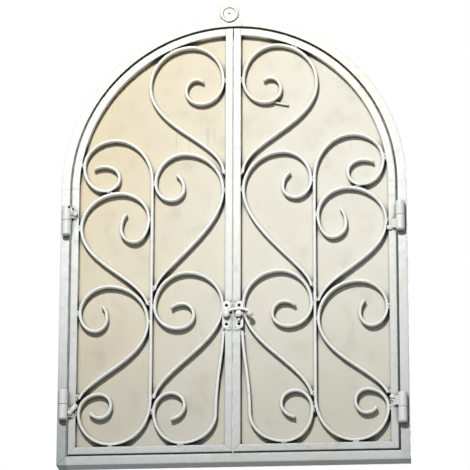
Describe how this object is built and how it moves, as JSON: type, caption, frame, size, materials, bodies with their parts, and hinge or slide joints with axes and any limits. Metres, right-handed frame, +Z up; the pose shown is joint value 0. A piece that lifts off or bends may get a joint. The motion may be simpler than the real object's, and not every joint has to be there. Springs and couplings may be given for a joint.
{
  "type": "window security bar",
  "caption": "Arched welded window security grille: tube frame, hinged leaves of flat-bar scrolls backed by sheet, and a swing hook latch.",
  "frame": {"origin": "centre of the sill tube's back face, where the grille meets the wall", "axes": "+X across the window to the right, +Y into the wall, +Z up"},
  "size_m": [0.61, 0.0545, 0.838],
  "materials": {
    "painted_steel": "thick off-white brush and spray paint over welded mild steel",
    "painted_sheet": "matt cream paint on thin steel sheet",
    "painted_latch": "thick off-white paint over steel",
    "bare_pin": "plain steel pin"
  },
  "bodies": {
    "frame": {"frame_arch_left": "painted_steel", "frame_arch_left_lip": "painted_steel", "frame_arch_right": "painted_steel", "frame_arch_right_lip": "painted_steel", "frame_left_jamb": "painted_steel", "frame_left_lip": "painted_steel", "frame_right_jamb": "painted_steel", "frame_right_lip": "painted_steel", "frame_sill": "painted_steel", "frame_sill_lip": "painted_steel", "hanging_plate": "painted_steel", "hanging_ring": "painted_steel", "hanging_washer": "painted_steel", "left_lower_frame_knuckle": "painted_steel", "left_lower_pin": "bare_pin", "left_upper_frame_knuckle": "painted_steel", "left_upper_pin": "bare_pin", "right_lower_frame_knuckle": "painted_steel", "right_lower_pin": "bare_pin", "right_upper_frame_knuckle": "painted_steel", "right_upper_pin": "bare_pin"},
    "left_leaf": {"latch_pivot_plate": "painted_latch", "latch_pivot_post": "painted_latch", "left_arch_rail": "painted_steel", "left_backing_sheet": "painted_sheet", "left_bottom_rail": "painted_steel", "left_column_bar": "painted_steel", "left_crown_scroll": "painted_steel", "left_foot_scroll": "painted_steel", "left_hinge_stile": "painted_steel", "left_hip_scroll": "painted_steel", "left_knee_scroll": "painted_steel", "left_lower_leaf_knuckle": "painted_steel", "left_meeting_stile": "painted_steel", "left_plate_welds": "painted_steel", "left_scroll_welds": "painted_steel", "left_shoulder_scroll": "painted_steel", "left_upper_leaf_knuckle": "painted_steel", "left_waist_scroll": "painted_steel"},
    "right_leaf": {"latch_keeper_plate": "painted_latch", "latch_keeper_post": "painted_latch", "right_arch_rail": "painted_steel", "right_backing_sheet": "painted_sheet", "right_bottom_rail": "painted_steel", "right_column_bar": "painted_steel", "right_crown_scroll": "painted_steel", "right_curl_stub": "painted_steel", "right_foot_scroll": "painted_steel", "right_hinge_stile": "painted_steel", "right_hip_scroll": "painted_steel", "right_knee_scroll": "painted_steel", "right_lower_leaf_knuckle": "painted_steel", "right_meeting_stile": "painted_steel", "right_plate_welds": "painted_steel", "right_scroll_welds": "painted_steel", "right_shoulder_scroll": "painted_steel", "right_upper_leaf_knuckle": "painted_steel", "right_waist_scroll": "painted_steel"},
    "hook": {"latch_hook": "painted_latch"}
  },
  "joints": [
    {"name": "left_leaf_swing", "type": "hinge", "parent": "frame", "child": "left_leaf", "pos_m": [-0.2935, -0.0465, 0.256], "axis": [0, 0, -1], "range_deg": [0, 170]},
    {"name": "right_leaf_swing", "type": "hinge", "parent": "frame", "child": "right_leaf", "pos_m": [0.2935, -0.0465, 0.245], "axis": [0, 0, 1], "range_deg": [0, 170]},
    {"name": "hook_swing", "type": "hinge", "parent": "left_leaf", "child": "hook", "pos_m": [-0.011, -0.0434, 0.254], "axis": [0, -1, 0], "range_deg": [0, 180]}
  ]
}
